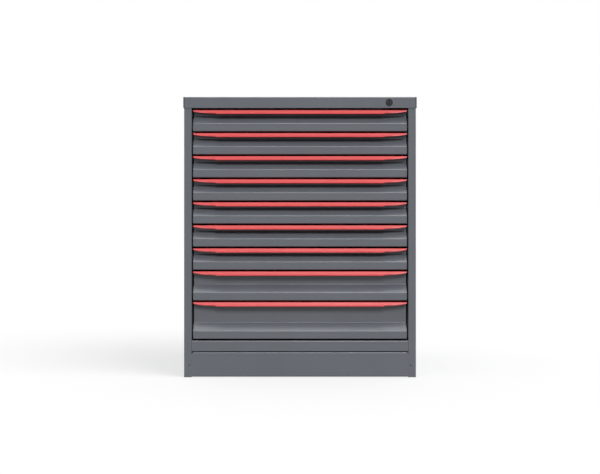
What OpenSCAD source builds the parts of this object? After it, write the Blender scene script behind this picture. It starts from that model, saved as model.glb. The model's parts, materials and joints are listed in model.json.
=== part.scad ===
// Drawer tool cabinet: a folded steel housing with nine drawers on telescopic
// slides, red handle strips and one lock that holds every drawer shut.
// Millimetres, +Z up, fronts face -Y, origin on the floor at the middle.

/* [Housing] */
// Width across the side panels
body_w = 754; // [640:2:860]
// Depth from the post faces to the rear flanges
body_d = 700; // [690:2:820]
// Thickness of the housing sheet
sheet_t = 1.5; // [1.2:0.1:2]
// Inside radius of the folds in the housing sheet
fold_r = 0.8; // [0.6:0.1:2]
// Width of each corner post as seen from the front
post_w = 25; // [24:0.5:32]
// Depth of the return folded in behind each front post
front_return_d = 45; // [42:1:60]
// Depth of the return folded in ahead of each rear flange
rear_return_d = 40; // [30:1:60]

/* [Cap] */
// Height of the cap that closes the top
cap_h = 36; // [34:0.5:50]
// Thickness of the cap sheet
cap_t = 2; // [1.5:0.1:2]
// How far the cap stands out past the housing on every side
cap_over = 2.2; // [2.2:0.1:5]
// Width of the open seam at each corner of the cap
cap_seam = 1.7; // [0.6:0.1:2.5]
// Radius along the top edges of the cap
cap_edge_r = 2.5; // [1:0.1:4]
// Gap between the highest drawer bay and the cap
cap_gap = 3.3; // [2:0.1:8]

/* [Base] */
// Thickness of the foot plates
foot_t = 4; // [3:0.5:8]
// Length of each foot plate
foot_d = 60; // [50:1:90]
// Gap between the foot plates and the side panels
foot_seam = 0.5; // [0.3:0.1:0.8]
// Height of the top edge of the plinth panel
plinth_h = 81.6; // [70:0.2:110]
// Gap under the plinth panel
plinth_lift = 2; // [1:0.5:6]
// Depth of the plinth panel's folded edges
plinth_edge_d = 18; // [10:1:30]
// Size of the corner cuts at the top of the plinth panel
plinth_cut = 5; // [2:0.5:8]
// Gap between the plinth panel or the bottom rail and the posts
panel_gap = 0.2; // [0.2:0.1:0.8]
// Inside radius of the folds of the plinth panel and the bottom rail
face_fold_r = 1.6; // [1:0.1:3]
// Seam between the plinth panel and the bottom rail
rail_seam = 1.9; // [1:0.1:3]
// Height of the bottom rail's face
rail_h = 35.5; // [25:0.5:50]
// Depth of the bottom rail's flanges
rail_d = 30; // [20:1:40]
// Gap between the bottom rail and the lowest drawer bay
rail_gap = 2.7; // [1:0.1:5]
// Width of the cross beams in the plinth
beam_w = 40; // [25:1:60]
// Height of the cross beams in the plinth
beam_h = 40; // [25:1:60]
// Wall of the plinth beams
beam_t = 2; // [1.5:0.1:3]

/* [Back] */
// Thickness of the back panel
back_t = 1.2; // [0.8:0.1:1.5]
// Margin of the side panels left bare around the back panel
back_margin = 3; // [2:0.5:6]
// Height of the back panel's lower edge
back_lift = 8; // [6:1:20]
// Gap between the back panel and the cap
back_gap = 2; // [1:0.5:4]
// Screws in each column of the back panel
back_screws = 7; // [4:1:10]

/* [Drawers] */
// Height step of the drawer bays, each of which is three to five steps high
bay_step = 25; // [25:0.5:30]
// Gap between one front and the next
front_gap = 5.4; // [4:0.1:8]
// Gap between a front and the posts
side_gap = 5; // [3:0.1:7]
// How far the upper part of a front is set back
recess_d = 24; // [18:0.5:25]
// Height of the ramp below the recess
ramp_h = 26; // [18:0.5:27]
// Height of the upright face below the ramp
lower_h = 25.5; // [20:0.5:26]
// Depth of the edge folded in under a front
front_edge_d = 18; // [10:1:20]
// Thickness of the drawer sheet
drawer_t = 1.2; // [0.8:0.1:1.4]
// Inside radius of the folds in the drawer sheet
drawer_fold_r = 2; // [1:0.1:2.4]
// Depth of a drawer box, front to back
box_d = 640; // [600:5:645]
// Gap between the bay floor and a drawer box
box_lift = 5; // [4:0.5:6]
// Gap between a drawer box and the top of its bay
box_drop = 8; // [7:0.5:9]
// Height of the doubled hem around a drawer box
hem_h = 8; // [5:0.5:12]
// Width of the slots in the box walls that take dividers
slot_w = 2; // [1.5:0.1:3]
// Distance from one divider slot to the next
slot_pitch = 50; // [30:5:80]
// Wall left above and below a divider slot
slot_edge = 8; // [6:0.5:12]

/* [Handles] */
// Height of the handle lip
lip_h = 14.1; // [11:0.1:15]
// How far the lip stands out past the posts
lip_out = 6; // [5:0.5:12]
// How far the lip's top edge sits behind the post faces
lip_top_back = 2; // [0:0.5:4]
// Thickness of the handle strip
lip_t = 1.8; // [1.2:0.1:2.2]
// Inside radius of the folds in the handle strip
lip_r = 1.2; // [0.8:0.1:2]
// Height and depth of the flare along the lip's lower edge
lip_flare = 4.5; // [3:0.5:6]
// Length of the curved stretch at each end of the lip
lip_end = 74; // [60:1:160]
// How far the lip steps back where a curved stretch starts
lip_step = 3.4; // [0.1:0.1:4]
// How far each end of the lip curves back
lip_end_back = 7.8; // [5:0.1:8.4]

/* [Slides] */
// Height of the telescopic slides
slide_h = 42; // [36:0.5:43]
// Width of a whole slide
slide_w = 12.4; // [12:0.1:14]
// Thickness of the slide steel
slide_t = 1.5; // [1.2:0.1:1.6]
// Running gap between the members of a slide
slide_gap = 0.5; // [0.4:0.05:0.6]
// Length of the slides
slide_len = 650; // [640:2:652]
// Gap between a front's inner face and its slides
slide_set = 2; // [1:0.5:3]
// Inside radius of the folds in the slide steel
slide_fold_r = 0.75; // [0.5:0.05:1]
// Depth of the fixed slide members
fixed_d = 6.8; // [5:0.1:7.5]
// Height of the slides above the drawer boxes' floors
slide_rise = 1; // [0:0.5:2]

/* [Lock] */
// Distance of the lock from the cabinet's right side
lock_inset = 87.3; // [60:0.5:140]
// Height of the lock's centre above the cap's lower edge
lock_rise = 18; // [18:0.5:20]
// Diameter of the lock's flange
lock_d = 23; // [21:0.5:26]
// Thickness of the lock's flange
flange_t = 1.5; // [1:0.1:2]
// Width across the corners of the lock's nut
nut_d = 26; // [24:0.5:28]
// Thickness of the lock's nut
nut_t = 4; // [3:0.5:5]
// Diameter of the lock's barrel
barrel_d = 18; // [16:0.5:19]
// Length of the barrel behind the cap's face
barrel_len = 23; // [18:0.5:24]
// Diameter of the key plug
plug_d = 12; // [10:0.5:13]
// Running gap around the key plug
plug_gap = 0.1; // [0.05:0.01:0.1]
// How far the key plug stands out of the cap
plug_out = 2; // [1.6:0.1:2.5]
// Height of the keyway
key_h = 9; // [6:0.5:9]
// Width of the keyway
key_w = 2.4; // [1:0.1:2.5]
// Depth of the keyway
key_d = 8; // [5:0.5:15]
// Gap between the barrel and the cam
cam_gap = 1; // [0.5:0.1:1.5]
// Diameter of the cam
cam_d = 20; // [18:0.5:22]
// Thickness of the cam
cam_t = 3; // [2:0.5:3]
// Diameter of the cam's pin
pin_d = 4; // [3:0.5:5]
// How far the pin reaches past the lock bar
pin_past = 2; // [1:0.5:4]
// Travel of the lock bar
bar_travel = 9; // [8:0.5:9]
// Thickness of the lock bar
bar_t = 3; // [2:0.5:3]
// Width of the lock bar
bar_w = 14; // [10:0.5:16]
// Distance of the lock bar behind the post faces
bar_set = 29; // [29:0.5:32]
// Gap around the pin and the fingers in their slots
bar_gap = 0.4; // [0.4:0.05:0.6]
// Gap between the lock bar's edge and the post's corner
bar_side = 1; // [0.5:0.1:1.5]
// Weld seam between the bar, its arm and its fingers
weld_seam = 0.2; // [0.1:0.05:0.4]
// Room ahead of the arm in its way into the post
arm_room = 5; // [2:0.5:8]
// Height of the lock bar's fingers
finger_h = 5; // [4:0.5:5.5]
// How far the fingers and catches stand clear of each other's slide face
finger_inset = 2.5; // [2:0.1:3]
// Height of the catch on a drawer
catch_h = 8; // [6:0.5:9]
// Depth of the catch on a drawer
catch_d = 12; // [6:0.5:16]
// Gap between a raised finger and its catch
catch_back = 1; // [0.5:0.1:2]
// Gap between the slides, the fingers and the catches
catch_gap = 1.5; // [1:0.1:1.8]

/* [Screws] */
// Diameter of the screw heads
head_d = 8; // [6.5:0.5:10]
// Height of the screw heads
head_h = 1.8; // [1:0.1:2]
// Diameter of the screw shanks
shank_d = 4; // [3:0.5:5]
// Diameter of the plinth screws' flush heads
flush_d = 6; // [5:0.5:7.5]
// Thickness of the flush heads
flush_t = 0.75; // [0.5:0.05:1]
// Width across the corners of the sockets in the heads
socket_d = 3.6; // [3:0.1:4]
// Floor left under the sockets
socket_floor = 0.6; // [0.3:0.1:0.8]
// Distance of the plinth screws from the posts' inner folds
screw_set = 5.6; // [5:0.1:8]
// Length of the screw shanks
shank_len = 8; // [5:0.5:12]
// Gap around a screw in its hole
screw_gap = 0.2; // [0.1:0.05:0.4]
// Height of the plinth screws above the floor
plinth_screw_z = 39; // [25:1:60]

/* [Hidden] */
$fn = 48;
// Height of each bay in steps, from the top drawer down
BAY_STEPS = [3, 3, 3, 3, 3, 3, 3, 4, 5];
DRAWERS = len(BAY_STEPS);
EPS = 1;

HOUSING = ["left_side_panel", "right_side_panel", "back_panel", "top_cap", "bottom_pan",
    "front_bottom_rail", "plinth_panel", "plinth_frame", "foot_plates", "cabinet_rails",
    "lock_housing", "housing_screws"];
LOCK = ["lock_plug", "lock_cam", "lock_bar"];
PIECES = ["box", "front", "handle", "runners", "mid_rails"];

STEEL = "dimgray";
ZINC = "lightsteelblue";
RED = "indianred";
DARK = "darkslategray";

// Plan: the posts' faces, the rear flanges and the clear opening
front_y = -(lip_out + body_d + cap_over) / 2 + lip_out;
rear_y = front_y + body_d;
side_x = body_w / 2;
open_x = side_x - post_w;
front_x = open_x - side_gap;
box_x = open_x - slide_w;
flange_y = front_y + sheet_t;
box_y = front_y + recess_d + drawer_t;

// Heights of the base, the bays and the cap
panel_z = foot_t + foot_seam;
rail_z = plinth_h + rail_seam;
pan_z = rail_z + sheet_t;
bays_z = rail_z + rail_h + rail_gap;
cap_z = bay_z(1) + bay_h(1) + cap_gap;
top_z = cap_z + cap_h;
deck_z = top_z - cap_t;

// Slides, fingers and catches, measured up from a bay's floor
slide_low = box_lift + slide_rise;
slide_mid = slide_low + slide_h / 2;
finger_low = slide_low + slide_h + catch_gap + slide_rise;
catch_low = finger_low + finger_h + catch_gap;

// Lock: the pin swings an eighth of a turn below and above the lock's centre
lock_x = side_x - lock_inset;
lock_z = cap_z + lock_rise;
lock_y = front_y - cap_over;
cam_y = lock_y + barrel_len + cam_gap;
pin_r = bar_travel / sqrt(2);
pin_x = lock_x + pin_r * cos(45);
pin_z = lock_z - pin_r * sin(45);
bar_y = front_y + bar_set;
bar_x = side_x - sheet_t - fold_r - bar_w - bar_side;
finger_x = box_x + finger_inset;

function piece_name(k, piece) = str("drawer_", k, "_", piece);
function bay_h(k) = BAY_STEPS[k - 1] * bay_step;
function bay_z(k) = k == DRAWERS ? bays_z : bay_z(k + 1) + bay_h(k + 1);
function front_top(k) = bay_z(k) + bay_h(k) - front_gap / 2;
function unit(v) = v / norm(v);
function left_of(v) = [-v[1], v[0]];
function turn(a, b) = atan2(a[0] * b[1] - a[1] * b[0], a[0] * b[0] + a[1] * b[1]);
function turned(v, a) = [v[0] * cos(a) - v[1] * sin(a), v[0] * sin(a) + v[1] * cos(a)];

// One side of a folded sheet: its ends, and an arc at each fold between them
function fold_side(points, t, r, side, steps) =
    let(last = len(points) - 1,
        way = [for (i = [0 : last - 1]) unit(points[i + 1] - points[i])])
    concat([points[0] + left_of(way[0]) * side * t / 2],
        [for (i = [1 : last - 1])
            each fold_arc(points[i], way[i - 1], way[i], t, r, side, steps)],
        [points[last] + left_of(way[last - 1]) * side * t / 2]);

function fold_arc(corner, before, after, t, r, side, steps) =
    let(angle = turn(before, after), bend = sign(angle), middle = r + t / 2,
        centre = corner - before * middle * tan(abs(angle) / 2)
            + left_of(before) * bend * middle,
        arm = left_of(before) * (bend * middle - side * t / 2))
    [for (i = [0 : steps]) centre - turned(arm, angle * i / steps)];

// A box between two opposite corners
module block(low, high) {
    translate(low) cube(high - low);
}

// Profiles drawn in (y, z), (x, z) or (x, y) and run along the third axis
module along_x(x0, x1) {
    translate([x0, 0, 0]) rotate([90, 0, 90]) linear_extrude(x1 - x0) children();
}

module along_y(y0, y1) {
    translate([0, y1, 0]) rotate([90, 0, 0]) linear_extrude(y1 - y0) children();
}

module along_z(z0, z1) {
    translate([0, 0, z0]) linear_extrude(z1 - z0) children();
}

module rod_y(x, z, d, y0, y1) {
    translate([x, y1, z]) rotate([90, 0, 0]) cylinder(d = d, h = y1 - y0);
}

module both_sides() {
    children();
    mirror([1, 0, 0]) children();
}

// A strip of sheet folded along the points, which run down its middle
module folded(points, t, r, steps = 5) {
    left = fold_side(points, t, r, 1, steps);
    right = fold_side(points, t, r, -1, steps);
    polygon(concat(left, [for (i = [len(right) - 1 : -1 : 0]) right[i]]));
}

// Housing ---------------------------------------------------------------

module side_panel_sheet() {
    inner = open_x + sheet_t / 2;
    outer = side_x - sheet_t / 2;
    front = front_y + sheet_t / 2;
    rear = rear_y - sheet_t / 2;
    along_z(panel_z, deck_z) folded([[inner, rear_y - rear_return_d], [inner, rear],
        [outer, rear], [outer, front], [inner, front], [inner, front_y + front_return_d]],
        sheet_t, fold_r);
}

module side_panel() {
    difference() {
        side_panel_sheet();
        plinth_screw_hole();
        back_screw_holes();
    }
}

module left_side_panel() {
    color(STEEL) mirror([1, 0, 0]) side_panel();
}

// The right panel also has a slot for each finger and a way in for the arm
module right_side_panel() {
    color(STEEL) difference() {
        side_panel();
        for (k = [1 : DRAWERS]) finger_slot(k);
        arm_window();
    }
}

module finger_slot(k) {
    low = bay_z(k) + finger_low;
    block([open_x - EPS, bar_y - bar_gap, low - bar_gap],
        [open_x + sheet_t + EPS, bar_y + bar_t + bar_gap,
        low + finger_h + bar_travel + bar_gap]);
}

module arm_window() {
    block([open_x - EPS, bar_y - arm_room, cap_z - cap_gap / 2],
        [open_x + sheet_t + EPS, front_y + front_return_d + EPS, deck_z + EPS]);
}

// The cap's section, upright at both ends with rounded top edges
module cap_section(low, high) {
    difference() {
        translate([low, cap_z]) square([high - low, cap_h]);
        for (end = [[low, 1], [high, -1]]) {
            centre = [end[0] + end[1] * cap_edge_r, top_z - cap_edge_r];
            difference() {
                translate(centre) translate([-end[1] * (cap_edge_r + EPS) / 2,
                    (cap_edge_r + EPS) / 2]) square(cap_edge_r + EPS, center = true);
                translate(centre) circle(cap_edge_r);
            }
        }
    }
}

module top_cap() {
    cap_x = side_x + cap_over;
    seam_x = cap_x - cap_t - cap_seam;
    cap_y = [front_y - cap_over, rear_y + cap_over];
    color(STEEL) difference() {
        intersection() {
            along_x(-cap_x, cap_x) cap_section(cap_y[0], cap_y[1]);
            along_y(cap_y[0], cap_y[1]) cap_section(-cap_x, cap_x);
        }
        block([-cap_x + cap_t, cap_y[0] + cap_t, cap_z - EPS],
            [cap_x - cap_t, cap_y[1] - cap_t, deck_z]);
        both_sides() for (y = [cap_y[0] - EPS, cap_y[1] - cap_t])
            block([seam_x, y, cap_z - EPS],
                [seam_x + cap_seam, y + cap_t + EPS, top_z + EPS]);
        rod_y(lock_x, lock_z, barrel_d + 2 * screw_gap, cap_y[0] - EPS, front_y + EPS);
    }
}

module bottom_pan() {
    color(STEEL) {
        block([-open_x + panel_gap, flange_y + face_fold_r, pan_z],
            [open_x - panel_gap, rear_y - sheet_t, pan_z + sheet_t]);
        both_sides() block([open_x - panel_gap, front_y + front_return_d + panel_gap, pan_z],
            [side_x - sheet_t - fold_r, rear_y - rear_return_d - panel_gap, pan_z + sheet_t]);
    }
}

// A channel open to the rear, with its face flush with the posts
module front_channel(z0, z1, d) {
    half = sheet_t / 2;
    along_x(-open_x + panel_gap, open_x - panel_gap)
        folded([[front_y + d, z1 - half], [front_y + half, z1 - half],
            [front_y + half, z0 + half], [front_y + d, z0 + half]], sheet_t, face_fold_r);
}

module front_bottom_rail() {
    color(STEEL) front_channel(rail_z, rail_z + rail_h, rail_d);
}

module plinth_panel() {
    corner = open_x - panel_gap;
    color(STEEL) difference() {
        front_channel(plinth_lift, plinth_h, plinth_edge_d);
        both_sides() along_y(front_y - EPS, front_y + plinth_edge_d + EPS)
            polygon([[corner + EPS, plinth_h + EPS], [corner + EPS, plinth_h - plinth_cut],
                [corner, plinth_h - plinth_cut], [corner - plinth_cut, plinth_h],
                [corner - plinth_cut, plinth_h + EPS]]);
    }
}

// A beam of channel section, open below and closed at its ends
module beam(low, high) {
    wall = [beam_t, beam_t, beam_t];
    difference() {
        block(low, high);
        block(low + wall - [0, 0, beam_t + EPS], high - wall);
    }
}

module plinth_frame() {
    beam_x = [open_x + sheet_t + fold_r, side_x - sheet_t - fold_r];
    cross_y = [front_y + foot_d, rear_y - foot_d - beam_w];
    color(STEEL) difference() {
        union() {
            both_sides() beam([beam_x[0], flange_y, foot_t],
                [beam_x[1], rear_y - sheet_t, pan_z]);
            for (y = cross_y) beam([-beam_x[0], y, pan_z - beam_h],
                [beam_x[0], y + beam_w, pan_z]);
        }
        both_sides() {
            rod_y(screw_x(), plinth_screw_z, shank_d + 2 * screw_gap, front_y, flange_y + shank_len + EPS);
            back_screw_holes();
        }
    }
}

module foot_plates() {
    color(STEEL) both_sides() for (y = [front_y, rear_y - foot_d])
        block([open_x, y, 0], [side_x, y + foot_d, foot_t]);
}

module back_panel() {
    color(STEEL) difference() {
        block([-side_x + back_margin, rear_y, back_lift],
            [side_x - back_margin, rear_y + back_t, cap_z - back_gap]);
        both_sides() back_screw_holes();
    }
}

// Screws ------------------------------------------------------------------

function screw_x() = open_x + sheet_t + fold_r + screw_set;
function back_screw_x() = side_x - post_w / 2;
function back_screw_z(i) = plinth_h / 2 + i * (cap_z - plinth_h) / back_screws;

module plinth_screw_hole() {
    rod_y(screw_x(), plinth_screw_z, flush_d + 2 * screw_gap, front_y - EPS, flange_y + EPS);
}

module back_screw_holes() {
    for (i = [0 : back_screws]) rod_y(back_screw_x(), back_screw_z(i),
        shank_d + 2 * screw_gap, rear_y + back_t - shank_len - EPS, rear_y + back_t + EPS);
}

// A screw along Y: its head stands out from the seat, towards -Y or +Y
module screw(x, z, seat, out, d, h) {
    rod_y(x, z, d, min(seat, seat + out * h), max(seat, seat + out * h));
    rod_y(x, z, shank_d, min(seat, seat - out * shank_len), max(seat, seat - out * shank_len));
}

module housing_screws() {
    color(ZINC) both_sides() {
        difference() {
            screw(screw_x(), plinth_screw_z, flange_y, -1, flush_d, flush_t);
            rod_y(screw_x(), plinth_screw_z, socket_d, front_y, flange_y, $fn = 6);
        }
        for (i = [0 : back_screws]) difference() {
            screw(back_screw_x(), back_screw_z(i), rear_y + back_t, 1, head_d, head_h);
            rod_y(back_screw_x(), back_screw_z(i), socket_d, rear_y + back_t + socket_floor,
                rear_y + back_t + head_h + EPS, $fn = 6);
        }
    }
}

// Slides -------------------------------------------------------------------

// Half sizes of the three members, each a channel inside the last
fixed_half = slide_h / 2;
mid_half = fixed_half - slide_t - slide_gap;
runner_half = mid_half - slide_t - slide_gap;
slide_y = box_y + slide_set;

// A channel in (x, z) with its web at x = web and its flanges reaching to x = tip
module channel(web, tip, half, k) {
    middle = bay_z(k) + slide_mid;
    high = half - slide_t / 2;
    along_y(slide_y, slide_y + slide_len) folded([[tip, middle + high], [web, middle + high],
        [web, middle - high], [tip, middle - high]], slide_t, slide_fold_r, 2);
}

module cabinet_rails() {
    color(ZINC) both_sides() for (k = [1 : DRAWERS])
        channel(open_x - slide_t / 2, open_x - fixed_d, fixed_half, k);
}

module drawer_mid_rails(k) {
    web = open_x - slide_t - slide_gap - slide_t / 2;
    color(ZINC) both_sides() channel(web, box_x + slide_t + slide_gap, mid_half, k);
}

module drawer_runners(k) {
    tip = open_x - 2 * slide_t - 2 * slide_gap;
    low = bay_z(k) + catch_low;
    catch_y = bar_y + bar_t + catch_back;
    color(ZINC) {
        both_sides() channel(box_x + slide_t / 2, tip, runner_half, k);
        block([box_x, catch_y, low], [open_x - finger_inset, catch_y + catch_d, low + catch_h]);
    }
}

// Drawers ------------------------------------------------------------------

module drawer_box(k) {
    low = bay_z(k) + box_lift;
    high = bay_z(k) + bay_h(k) - box_drop;
    wall = [drawer_t, drawer_t, drawer_t];
    hem = [2 * drawer_t, 2 * drawer_t, 0];
    color(STEEL) difference() {
        block([-box_x, box_y, low], [box_x, box_y + box_d, high]);
        block([-box_x, box_y, low] + wall, [box_x, box_y + box_d, high - hem_h] - wall);
        block([-box_x, box_y, high - hem_h - wall[2] - EPS] + hem,
            [box_x, box_y + box_d, high + EPS] - hem);
        divider_slots(low + slot_edge, high - hem_h - slot_edge);
    }
}

// Rows of slots through all four walls of a box
module divider_slots(low, high) {
    across = floor((box_x - slot_pitch / 2) / slot_pitch);
    for (i = [-across : across]) block([i * slot_pitch - slot_w / 2, box_y - EPS, low],
        [i * slot_pitch + slot_w / 2, box_y + box_d + EPS, high]);
    for (y = [box_y + slot_pitch : slot_pitch : box_y + box_d - slot_pitch / 2])
        block([-box_x - EPS, y - slot_w / 2, low], [box_x + EPS, y + slot_w / 2, high]);
}

// Outer corners of a front's section, from its top edge down
function front_corners(k) =
    let(half = drawer_t / 2, top = front_top(k) - lip_t, low = bay_z(k) + front_gap / 2,
        back = front_y + recess_d + half, face = front_y + half)
    [[front_y + lip_top_back + lip_t + lip_r, top - half], [back, top - half],
    [back, low + lower_h + ramp_h], [face, low + lower_h], [face, low + half],
    [front_y + front_edge_d, low + half]];

module drawer_front(k) {
    p = front_corners(k);
    half = drawer_t / 2;
    color(STEEL) {
        along_x(-front_x, front_x) folded(p, drawer_t, drawer_fold_r);
        both_sides() along_x(front_x - drawer_t, front_x) polygon([p[2],
            p[3] + [drawer_fold_r, 0], p[4] + [drawer_fold_r, half], [p[2][0], p[4][1] + half]]);
    }
}

// A folded strip with a flared lip, trimmed in plan so that its ends curve back
module drawer_handle(k) {
    top = front_top(k) - lip_t / 2;
    start = front_y + lip_top_back + lip_t / 2;
    edge = lip_t / 2 * sqrt(0.5) * [1, 1];
    tip = [front_y - lip_out, front_top(k) - lip_h] + edge;
    color(RED) difference() {
        along_x(-front_x, front_x) folded([[box_y, top], [start, top],
            tip + [lip_flare, lip_flare], tip], lip_t, lip_r);
        both_sides() along_z(front_top(k) - 2 * lip_h, front_top(k) + EPS) lip_end_cut();
    }
}

// What is cut from the end of a lip: all that lies ahead of a step and a flat arc
module lip_end_cut() {
    front = [front_x - lip_end, front_y - lip_out];
    start = front + [0, lip_step];
    chord = [lip_end, lip_end_back - lip_step];
    r = chord * chord / chord[1];
    centre = start + chord / 2 + left_of(unit(chord)) * sqrt(r * r - chord * chord / 4);
    difference() {
        translate(front - [0, EPS]) square([lip_end, lip_end_back] + 2 * [EPS, EPS]);
        translate(centre) circle(r, $fn = 720);
    }
}

// Lock ---------------------------------------------------------------------

module lock_housing() {
    nut_y = lock_y + cap_t;
    color(DARK) difference() {
        union() {
            rod_y(lock_x, lock_z, lock_d, lock_y - flange_t, lock_y);
            rod_y(lock_x, lock_z, barrel_d, lock_y, lock_y + barrel_len);
            rod_y(lock_x, lock_z, nut_d, nut_y, nut_y + nut_t, $fn = 6);
        }
        rod_y(lock_x, lock_z, plug_d + 2 * plug_gap, lock_y - plug_out, lock_y + barrel_len + EPS);
    }
}

module lock_plug() {
    color(ZINC) difference() {
        rod_y(lock_x, lock_z, plug_d, lock_y - plug_out, cam_y);
        block([lock_x - key_w / 2, lock_y - plug_out - EPS, lock_z - key_h / 2],
            [lock_x + key_w / 2, lock_y - plug_out + key_d, lock_z + key_h / 2]);
    }
}

module lock_cam() {
    color(ZINC) {
        rod_y(lock_x, lock_z, cam_d, cam_y, cam_y + cam_t);
        rod_y(pin_x, pin_z, pin_d, cam_y + cam_t, bar_y + bar_t + pin_past);
    }
}

module lock_bar() {
    low = bay_z(DRAWERS) + finger_low;
    arm_z = [pin_z - bar_w / 2, pin_z + bar_w / 2];
    color(ZINC) {
        block([bar_x, bar_y, low], [bar_x + bar_w, bar_y + bar_t, arm_z[0] - weld_seam]);
        for (k = [1 : DRAWERS]) finger(k);
        difference() {
            block([lock_x - bar_w, bar_y, arm_z[0]], [bar_x + bar_w, bar_y + bar_t, arm_z[1]]);
            pin_slot();
        }
    }
}

module finger(k) {
    low = bay_z(k) + finger_low;
    block([finger_x, bar_y, low], [bar_x - weld_seam, bar_y + bar_t, low + finger_h]);
}

module pin_slot() {
    sweep = pin_r * (1 - cos(45));
    half = pin_d / 2 + bar_gap;
    block([pin_x - half, bar_y - EPS, pin_z - half],
        [pin_x + sweep + half, bar_y + bar_t + EPS, pin_z + half]);
}

// Drawing ------------------------------------------------------------------

module drawer_piece(k, piece) {
    if (piece == "box") drawer_box(k);
    if (piece == "front") drawer_front(k);
    if (piece == "handle") drawer_handle(k);
    if (piece == "runners") drawer_runners(k);
    if (piece == "mid_rails") drawer_mid_rails(k);
}

left_side_panel();
right_side_panel();
back_panel();
top_cap();
bottom_pan();
front_bottom_rail();
plinth_panel();
plinth_frame();
foot_plates();
cabinet_rails();
lock_housing();
housing_screws();
lock_plug();
lock_cam();
lock_bar();
for (k = [1 : DRAWERS], piece = PIECES)
    drawer_piece(k, piece);
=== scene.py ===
import json
import math

import bmesh
import bpy
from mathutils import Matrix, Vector

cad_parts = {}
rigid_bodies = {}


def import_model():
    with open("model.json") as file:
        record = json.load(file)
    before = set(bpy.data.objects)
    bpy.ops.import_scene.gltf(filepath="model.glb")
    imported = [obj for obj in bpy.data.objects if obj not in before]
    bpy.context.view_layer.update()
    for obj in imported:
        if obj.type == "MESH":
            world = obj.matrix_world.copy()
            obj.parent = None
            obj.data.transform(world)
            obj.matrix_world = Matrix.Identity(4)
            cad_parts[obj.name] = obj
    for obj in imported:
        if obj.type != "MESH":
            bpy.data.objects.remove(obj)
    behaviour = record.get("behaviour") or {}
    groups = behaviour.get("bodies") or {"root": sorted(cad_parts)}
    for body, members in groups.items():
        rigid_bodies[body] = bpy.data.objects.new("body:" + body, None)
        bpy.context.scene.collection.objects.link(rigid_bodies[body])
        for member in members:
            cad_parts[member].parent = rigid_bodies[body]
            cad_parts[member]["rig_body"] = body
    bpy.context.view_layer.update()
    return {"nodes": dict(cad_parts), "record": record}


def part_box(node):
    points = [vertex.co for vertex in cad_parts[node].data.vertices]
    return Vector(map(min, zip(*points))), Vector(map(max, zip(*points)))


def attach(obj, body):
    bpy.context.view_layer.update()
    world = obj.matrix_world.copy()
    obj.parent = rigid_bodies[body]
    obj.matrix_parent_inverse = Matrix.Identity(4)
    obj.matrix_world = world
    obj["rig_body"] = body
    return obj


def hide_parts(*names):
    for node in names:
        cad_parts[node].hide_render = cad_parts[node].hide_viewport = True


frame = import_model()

RECORD = frame["record"]
SCENE = bpy.context.scene
SLOT_OF = {part["node"]: part["material_slot"] for part in RECORD["subparts"]}
COLOUR = {m["slot"]: m["base_color"] for m in RECORD["materials"]}
BODY_OF = {node: piece["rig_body"] for node, piece in frame["nodes"].items()}

# The camera looks level along +Y at the middle of the cabinet. Its distance is from the posts'
# faces, where the view is as wide as stated; the sensor's width is in millimetres.
CAMERA_DISTANCE = 3.0
CAMERA_HEIGHT = 0.4559
VIEW_WIDTH = 1.9498
SENSOR = 36.0
VIEW_END = 100

# The world's strength where it is seen and where it only lights the object
WHITE = 1.0
SKY = 0.12

# The floor: its half width, its colour and glow as seen, and its colour as it lights the object
FLOOR_HALF = 40
FLOOR_SEEN = 0.50
FLOOR_GLOW = 0.57
FLOOR_BOUNCE = 0.26

# Far lamps: name, azimuth, elevation and spread in degrees, level. An azimuth of 0 is in front of
# the cabinet and 90 at its right. The first lamps light the object, the others the floor alone.
OBJECT_LAMPS = (
    ("front", 5, 33, 24, 0.6),
    ("top", 40, 84, 60, 0.6),
    ("left", -115, 12, 90, 0.46),
    ("right", 115, 12, 90, 0.55),
    ("rear", 180, 15, 100, 0.47),
)
FLOOR_LAMPS = (
    ("floor_sky", 0, 90, 150, 0.5),
    ("floor_shadow", 55, 42, 50, 0.42),
)
LAMP_DISTANCE = 5

# Rounding of the edges: thin sheet and lock, or the cap and the feet. Edges sharper than
# ROUND_ANGLE are rounded, those sharper than SHARP_ANGLE stay sharp in the shading, and faces
# within FLAT_ANGLE of each other are one flat face.
FINE_EDGE = 0.0003
HEAVY_EDGE = 0.0006
EDGE_SEGMENTS = 2
ROUND_ANGLE = math.radians(32)
SHARP_ANGLE = math.radians(89)
FLAT_ANGLE = math.radians(0.6)
SAME_CORNER = 1e-6

# The cap's sheet and the open seams at its corners, which hold near-black strips of painted shade
CAP_SHEET = 0.0020
CAP_SEAM = 0.0017
CAP_SHADE_RECESS = 0.0004

# The seams between the plinth panel and the posts, which are closed and painted over
SEAM_HALF_WIDTH = 0.0014
SEAM_DEPTH = 0.0006
SEAM_PROUD = 0.00004
PLINTH_CUT = 0.005

# The faces this near to the axis of a screw or of the key plug are those of its hexagon socket
# # or of the keyway, which are coloured near black as painted shade
SOCKET_REACH = {"housing_screws": 0.0019, "lock_plug": 0.005}

# A slide's face that looks along Y at least this squarely is a cut end, coloured dark as painted
# shade
END_FACING = 0.9

# The range that nearly all of a noise texture's values lie in
NOISE_LOW = 0.35
NOISE_HIGH = 0.65


# Materials ---------------------------------------------------------------

def new_material(name):
    """A new material, with its nodes and its links."""
    material = bpy.data.materials.new(name)
    material.use_nodes = True
    return material, material.node_tree.nodes, material.node_tree.links


def noise(nodes, links, scale, detail=2.0, roughness=0.5, stretch=(1, 1, 1)):
    """A noise texture in the object's own metres, stretched if asked."""
    place = nodes.new("ShaderNodeTexCoord")
    mapping = nodes.new("ShaderNodeMapping")
    mapping.inputs["Scale"].default_value = stretch
    texture = nodes.new("ShaderNodeTexNoise")
    texture.inputs["Scale"].default_value = scale
    texture.inputs["Detail"].default_value = detail
    texture.inputs["Roughness"].default_value = roughness
    links.new(place.outputs["Object"], mapping.inputs["Vector"])
    links.new(mapping.outputs["Vector"], texture.inputs["Vector"])
    return texture.outputs["Fac"]


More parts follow.
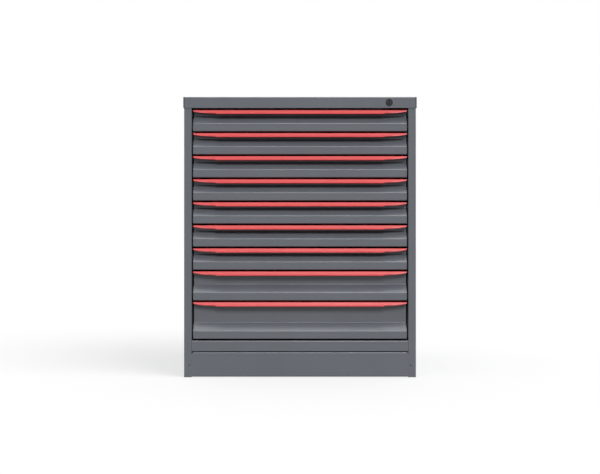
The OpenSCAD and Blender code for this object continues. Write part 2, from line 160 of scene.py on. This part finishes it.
def remap(nodes, links, value, low, high):
    """A noise value stretched over low to high."""
    node = nodes.new("ShaderNodeMapRange")
    node.inputs["From Min"].default_value = NOISE_LOW
    node.inputs["From Max"].default_value = NOISE_HIGH
    node.inputs["To Min"].default_value = low
    node.inputs["To Max"].default_value = high
    links.new(value, node.inputs["Value"])
    return node.outputs["Result"]


def tinted(nodes, links, colour, factor):
    """A colour made lighter or darker by a factor that varies over the surface."""
    node = nodes.new("ShaderNodeVectorMath")
    node.operation = "SCALE"
    node.inputs[0].default_value = colour
    links.new(factor, node.inputs["Scale"])
    return node.outputs["Vector"]


def bump(nodes, links, height, strength, distance, below=None):
    """Small bumps from a height value, on top of other bumps if given."""
    node = nodes.new("ShaderNodeBump")
    node.inputs["Strength"].default_value = strength
    node.inputs["Distance"].default_value = distance
    links.new(height, node.inputs["Height"])
    if below:
        links.new(below, node.inputs["Normal"])
    return node.outputs["Normal"]


def powder_coat(name, colour, roughness, specular, peel, fleck):
    """Baked powder paint: a fine orange peel, faint clouds of tone and tiny flecks."""
    material, nodes, links = new_material(name)
    shader = nodes["Principled BSDF"]
    shader.inputs["Specular IOR Level"].default_value = specular
    clouds = noise(nodes, links, 7, 3)
    flecks = noise(nodes, links, 1400, 1)
    tone = nodes.new("ShaderNodeMath")
    tone.operation = "MULTIPLY"
    links.new(remap(nodes, links, clouds, 0.97, 1.03), tone.inputs[0])
    links.new(remap(nodes, links, flecks, 1 - fleck, 1 + fleck), tone.inputs[1])
    links.new(tinted(nodes, links, colour, tone.outputs[0]), shader.inputs["Base Color"])
    patches = noise(nodes, links, 22, 2)
    gloss = remap(nodes, links, patches, roughness - 0.015, roughness + 0.015)
    links.new(gloss, shader.inputs["Roughness"])
    grain = bump(nodes, links, noise(nodes, links, 1100, 2), peel, 0.00012)
    waves = bump(nodes, links, noise(nodes, links, 240, 2), peel * 0.3, 0.0003, grain)
    links.new(waves, shader.inputs["Normal"])
    return material


def dull(name, colour, roughness, specular):
    """A plain, even coating or sealant with a faint unevenness."""
    material, nodes, links = new_material(name)
    shader = nodes["Principled BSDF"]
    shader.inputs["Specular IOR Level"].default_value = specular
    tone = remap(nodes, links, noise(nodes, links, 60, 3), 0.92, 1.08)
    links.new(tinted(nodes, links, colour, tone), shader.inputs["Base Color"])
    shader.inputs["Roughness"].default_value = roughness
    links.new(bump(nodes, links, noise(nodes, links, 500, 2), 0.2, 0.0001),
        shader.inputs["Normal"])
    return material


def metal(name, colour, roughness, stretch):
    """Plated or brushed steel: fine streaks along one axis over a cloudy sheen."""
    material, nodes, links = new_material(name)
    shader = nodes["Principled BSDF"]
    shader.inputs["Metallic"].default_value = 1.0
    clouds = noise(nodes, links, 30, 3)
    streaks = noise(nodes, links, 900, 2, stretch=stretch)
    links.new(tinted(nodes, links, colour, remap(nodes, links, clouds, 0.95, 1.05)),
        shader.inputs["Base Color"])
    links.new(remap(nodes, links, streaks, roughness - 0.04, roughness + 0.04),
        shader.inputs["Roughness"])
    links.new(bump(nodes, links, streaks, 0.08, 0.0001), shader.inputs["Normal"])
    return material


MATERIALS = {
    "grey_steel": powder_coat("grey_powder_coat", COLOUR["grey_steel"], 0.22, 0.42, 0.12, 0.05),
    "red_handle": powder_coat("red_powder_coat", COLOUR["red_handle"], 0.32, 0.4, 0.10, 0.03),
    "zinc_steel": metal("zinc_plate", COLOUR["zinc_steel"], 0.36, (1, 0.04, 1)),
    "black_lock": dull("black_plate", COLOUR["black_lock"], 0.4, 0.06),
    "dark_plug": metal("dark_nickel", COLOUR["dark_plug"], 0.42, (0.1, 1, 1)),
}
# Near-black colour painted into the cap's corner seams as shade
CAP_SEAM_SHADE = dull("painted_seam_shade", (0.012, 0.012, 0.013), 0.6, 0.2)
# Bare steel of the slides' cut ends, darkened to painted shade
CUT_END_SHADE = dull("painted_cut_end_shade", (0.05, 0.052, 0.056), 0.6, 0.2)
# Near-black colours painted into the screw sockets and the keyway as shade
SOCKET_SHADE = dull("painted_socket_shade", (0.012, 0.012, 0.013), 0.6, 0.2)
KEYWAY_SHADE = dull("painted_keyway_shade", (0.002, 0.002, 0.002), 0.9, 0.0)


# Pieces ------------------------------------------------------------------

def clean_mesh(bm):
    """Joins the CAD mesh's corners and turns its flat triangles into whole faces."""
    bmesh.ops.remove_doubles(bm, verts=bm.verts, dist=SAME_CORNER)
    bmesh.ops.dissolve_limit(bm, angle_limit=FLAT_ANGLE, verts=bm.verts, edges=bm.edges)


def finished(node):
    """The CAD node as a finished piece, with its cut edges rounded and its folds smooth."""
    mesh = frame["nodes"][node].data.copy()
    bm = bmesh.new()
    bm.from_mesh(mesh)
    clean_mesh(bm)
    mesh.materials.clear()
    mesh.materials.append(MATERIALS[SLOT_OF[node]])
    # Screw sockets and the keyway get a near-black painted shade
    if node in SOCKET_REACH:
        mesh.materials.append(KEYWAY_SHADE if node == "lock_plug" else SOCKET_SHADE)
        paint_socket_shade(bm, SOCKET_REACH[node])
    bm.to_mesh(mesh)
    bm.free()
    piece = bpy.data.objects.new(node + "_finished", mesh)
    SCENE.collection.objects.link(piece)
    round_edges(piece, HEAVY_EDGE if node in ("foot_plates", "top_cap") else FINE_EDGE)
    # The slides' cut ends get a dark painted shade
    if SLOT_OF[node] == "zinc_steel":
        paint_cut_end_shade(piece)
    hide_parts(node)
    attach(piece, BODY_OF[node])


def islands(bm):
    """The separate solids of a mesh, each as a set of its corners."""
    left = set(bm.verts)
    while left:
        queue = [left.pop()]
        island = set(queue)
        while queue:
            near = {v for edge in queue.pop().link_edges for v in edge.verts} & left
            left -= near
            island |= near
            queue.extend(near)
        yield island


def paint_socket_shade(bm, reach):
    """Sockets and keyway are coloured near black inside, as painted shade in their hollows. Their
    screws and plug all lie along Y.
    """
    for island in islands(bm):
        x = (min(v.co.x for v in island) + max(v.co.x for v in island)) / 2
        z = (min(v.co.z for v in island) + max(v.co.z for v in island)) / 2
        inner = {v for v in island if math.hypot(v.co.x - x, v.co.z - z) < reach}
        for face in {face for v in inner for face in v.link_faces}:
            if inner.issuperset(face.verts):
                face.material_index = 1


def paint_cut_end_shade(piece):
    """The sawn ends of the slides: bare steel, not plated, with a colour far darker than steel as
    painted shade.
    """
    piece.data.materials.append(CUT_END_SHADE)
    for face in piece.data.polygons:
        if abs(face.normal.y) > END_FACING:
            face.material_index = 1


def block(name, low, high, material):
    """A plain box on the housing between two opposite corners."""
    x, y, z = zip(low, high)
    corners = [(x[i], y[j], z[k]) for i in (0, 1) for j in (0, 1) for k in (0, 1)]
    faces = [(0, 1, 3, 2), (4, 6, 7, 5), (0, 4, 5, 1), (2, 3, 7, 6), (0, 2, 6, 4), (1, 5, 7, 3)]
    mesh = bpy.data.meshes.new(name)
    mesh.from_pydata(corners, [], faces)
    mesh.materials.append(material)
    piece = bpy.data.objects.new(name, mesh)
    SCENE.collection.objects.link(piece)
    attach(piece, "housing")


def paint_shade_in_cap_seams():
    """Near-black strips of painted shade in the four corner seams of the cap, a little below the
    surface.
    """
    low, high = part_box("top_cap")
    outer = CAP_SHEET + CAP_SEAM
    for side, x in (("left", low.x + CAP_SHEET), ("right", high.x - outer)):
        for end, y0, y1 in (("front", low.y + CAP_SHADE_RECESS, low.y + CAP_SHEET),
                ("rear", high.y - CAP_SHEET, high.y - CAP_SHADE_RECESS)):
            block("cap_seam_painted_shade_" + side + "_" + end, (x, y0, low.z + CAP_SHADE_RECESS),
                (x + CAP_SEAM, y1, high.z - CAP_SHADE_RECESS), CAP_SEAM_SHADE)


def painted_seams():
    """Welds ground flush between the plinth panel and the posts, painted with the rest."""
    low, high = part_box("plinth_panel")
    for side, x in (("left", low.x), ("right", high.x)):
        block("plinth_seam_" + side,
            (x - SEAM_HALF_WIDTH, low.y - SEAM_PROUD, low.z),
            (x + SEAM_HALF_WIDTH, low.y + SEAM_DEPTH, high.z - PLINTH_CUT),
            MATERIALS["grey_steel"])


def round_edges(piece, width):
    """Rounds the piece's edges to the width and keeps its flat faces evenly shaded."""
    bevel = piece.modifiers.new("rounded_edges", "BEVEL")
    bevel.width = width
    bevel.segments = EDGE_SEGMENTS
    bevel.limit_method = "ANGLE"
    bevel.angle_limit = ROUND_ANGLE
    bevel.use_clamp_overlap = True
    flat = piece.modifiers.new("flat_faces_stay_flat", "WEIGHTED_NORMAL")
    flat.keep_sharp = True
    flat.weight = 100
    piece.data.shade_smooth()
    piece.data.set_sharp_from_angle(angle=SHARP_ANGLE)
    bpy.context.view_layer.update()
    graph = bpy.context.evaluated_depsgraph_get()
    rounded = bpy.data.meshes.new_from_object(piece.evaluated_get(graph))
    piece.modifiers.clear()
    piece.data = rounded


for name in sorted(frame["nodes"]):
    finished(name)
paint_shade_in_cap_seams()
painted_seams()


# Stage -------------------------------------------------------------------

def pale_floor():
    """A wide pale floor, seen near white by the camera and in reflections, with its shadow."""
    material, nodes, links = new_material("pale_floor")
    nodes.remove(nodes["Principled BSDF"])
    seen = nodes.new("ShaderNodeBsdfDiffuse")
    seen.inputs["Color"].default_value = (*[FLOOR_SEEN] * 3, 1)
    glow = nodes.new("ShaderNodeEmission")
    glow.inputs["Strength"].default_value = FLOOR_GLOW
    bright = nodes.new("ShaderNodeAddShader")
    bounce = nodes.new("ShaderNodeBsdfDiffuse")
    bounce.inputs["Color"].default_value = (*[FLOOR_BOUNCE] * 3, 1)
    choice = nodes.new("ShaderNodeMixShader")
    links.new(seen.outputs[0], bright.inputs[0])
    links.new(glow.outputs[0], bright.inputs[1])
    links.new(seen_rays(nodes, links), choice.inputs["Fac"])
    links.new(bounce.outputs[0], choice.inputs[1])
    links.new(bright.outputs[0], choice.inputs[2])
    links.new(choice.outputs[0], nodes["Material Output"].inputs["Surface"])
    mesh = bpy.data.meshes.new("floor")
    corners = [(x * FLOOR_HALF, y * FLOOR_HALF, 0) for x, y in ((-1, -1), (1, -1), (1, 1), (-1, 1))]
    mesh.from_pydata(corners, [], [(0, 1, 2, 3)])
    mesh.materials.append(material)
    floor = bpy.data.objects.new("floor", mesh)
    SCENE.collection.objects.link(floor)
    return floor


def seen_rays(nodes, links):
    """1 for rays from the camera and for reflected and transmitted ones."""
    path = nodes.new("ShaderNodeLightPath")
    value = path.outputs["Is Camera Ray"]
    for ray in ("Is Glossy Ray", "Is Transmission Ray"):
        either = nodes.new("ShaderNodeMath")
        either.operation = "MAXIMUM"
        links.new(value, either.inputs[0])
        links.new(path.outputs[ray], either.inputs[1])
        value = either.outputs[0]
    return value


def white_room():
    """The world: white where it is seen, and a plain fill light everywhere else."""
    world = bpy.data.worlds.new("white_room")
    world.use_nodes = True
    nodes, links = world.node_tree.nodes, world.node_tree.links
    background = nodes["Background"]
    background.inputs["Color"].default_value = (1, 1, 1, 1)
    strength = nodes.new("ShaderNodeMapRange")
    strength.inputs["To Min"].default_value = SKY
    strength.inputs["To Max"].default_value = WHITE
    links.new(seen_rays(nodes, links), strength.inputs["Value"])
    links.new(strength.outputs["Result"], background.inputs["Strength"])
    SCENE.world = world


def soft_light(name, azimuth, elevation, spread, level):
    """A wide, far lamp. At level 1 alone it shows a white wall that faces it as white."""
    data = bpy.data.lights.new(name, "SUN")
    data.angle = math.radians(spread)
    data.energy = level * math.pi
    light = bpy.data.objects.new(name, data)
    a, e = math.radians(azimuth), math.radians(elevation)
    towards = Vector((math.sin(a) * math.cos(e), -math.cos(a) * math.cos(e), math.sin(e)))
    light.location = towards * LAMP_DISTANCE
    light.rotation_mode = "QUATERNION"
    light.rotation_quaternion = (-towards).to_track_quat("-Z", "Y")
    SCENE.collection.objects.link(light)
    return light


def link_light(light, item, state):
    """INCLUDE: the lamp lights the item alone. EXCLUDE: it lights all but the item."""
    receivers = bpy.data.collections.new(light.name + "_receivers")
    receivers.objects.link(item)
    light.light_linking.receiver_collection = receivers
    receivers.collection_objects[0].light_linking.link_state = state


def camera():
    """The camera, level and square to the cabinet's front."""
    data = bpy.data.cameras.new("camera")
    data.sensor_width = SENSOR
    data.lens = SENSOR * CAMERA_DISTANCE / VIEW_WIDTH
    data.clip_end = VIEW_END
    item = bpy.data.objects.new("camera", data)
    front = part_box("left_side_panel")[0].y
    item.location = (0, front - CAMERA_DISTANCE, CAMERA_HEIGHT)
    item.rotation_euler = (math.pi / 2, 0, 0)
    SCENE.collection.objects.link(item)
    SCENE.camera = item


camera()
floor = pale_floor()
white_room()
for lamp in OBJECT_LAMPS:
    link_light(soft_light(*lamp), floor, "EXCLUDE")
for lamp in FLOOR_LAMPS:
    link_light(soft_light(*lamp), floor, "INCLUDE")

SCENE.view_settings.view_transform = "Standard"
